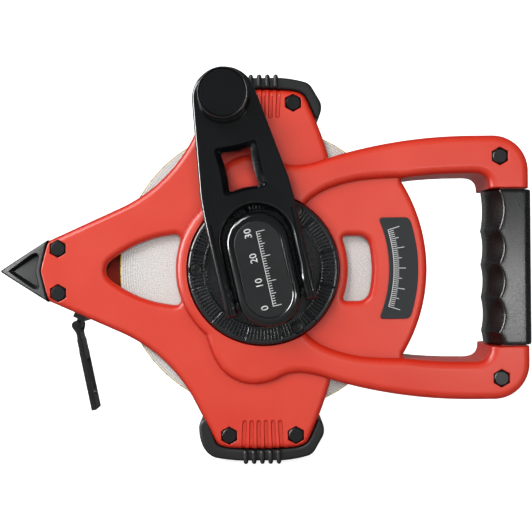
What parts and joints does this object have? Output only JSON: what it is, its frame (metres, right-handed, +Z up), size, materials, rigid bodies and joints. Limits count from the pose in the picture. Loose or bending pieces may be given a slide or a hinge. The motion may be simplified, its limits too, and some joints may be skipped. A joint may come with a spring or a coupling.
{
  "type": "surveyor tape reel",
  "caption": "Open-reel measuring tape with a D handle, a ground spike, a folding crank on a ribbed disc, rubber bumpers and a hanging end hook.",
  "frame": {"origin": "where the spool axis meets the flat back face of the rear shell", "axes": "+Z up with the handle on the +X side and the ground spike towards -X; the crank faces -Y and the flat back faces +Y"},
  "size_m": [0.2863, 0.0633, 0.2089],
  "materials": {
    "red_shell": "satin moulded",
    "black_plastic": "satin moulded",
    "gloss_black": "gloss moulded",
    "black_rubber": "matt",
    "label": "matt printed",
    "tape_edge": "woven glass fibre edges in clear plastic",
    "tape_face": "satin",
    "bright_steel": "turned",
    "black_steel": "black oxide"
  },
  "bodies": {
    "frame": {"front_shell": "red_shell", "rear_shell": "red_shell", "nose_spike": "black_plastic", "top_bumper": "black_rubber", "bottom_bumper": "black_rubber", "hand_grip": "black_rubber", "panel_label": "label", "frame_bolt_1": "black_steel", "frame_bolt_2": "black_steel", "frame_bolt_3": "black_steel", "frame_bolt_4": "black_steel", "frame_bolt_5": "black_steel", "frame_bolt_6": "black_steel", "frame_bolt_7": "black_steel", "frame_bolt_8": "black_steel", "frame_nut_1": "black_steel", "frame_nut_2": "black_steel", "frame_nut_3": "black_steel", "frame_nut_4": "black_steel", "frame_nut_5": "black_steel", "frame_nut_6": "black_steel", "frame_nut_7": "black_steel", "frame_nut_8": "black_steel", "spool_axle": "bright_steel", "mouth_guide": "black_plastic", "tape_lead": "tape_face", "hook_clasp": "black_plastic"},
    "spool": {"spool_drum": "black_plastic", "tape_coil": "tape_edge", "crank_disc": "black_plastic", "disc_screw_1": "black_steel", "disc_screw_2": "black_steel", "disc_screw_3": "black_steel", "hub_block": "gloss_black", "hub_label": "label", "crank_pin": "black_steel"},
    "crank": {"crank_arm": "gloss_black", "knob_axle": "bright_steel"},
    "knob": {"crank_knob": "gloss_black", "knob_cap": "gloss_black"},
    "hook": {"end_hook": "black_plastic", "hook_pin": "bright_steel"}
  },
  "joints": [
    {"name": "spool_spin", "type": "hinge", "parent": "frame", "child": "spool", "pos_m": [0, -0.017, 0], "axis": [0, -1, 0], "continuous": true},
    {"name": "crank_fold", "type": "hinge", "parent": "spool", "child": "crank", "pos_m": [0.00337, -0.0425, -0.01533], "axis": [0.9767, 0, 0.2147], "range_deg": [0, 160]},
    {"name": "knob_spin", "type": "hinge", "parent": "crank", "child": "knob", "pos_m": [-0.01933, -0.0425, 0.0879], "axis": [0, -1, 0], "continuous": true},
    {"name": "hook_swing", "type": "hinge", "parent": "frame", "child": "hook", "pos_m": [-0.1016, -0.017, -0.0296], "axis": [0, -1, 0], "range_deg": [-110, 42]}
  ]
}
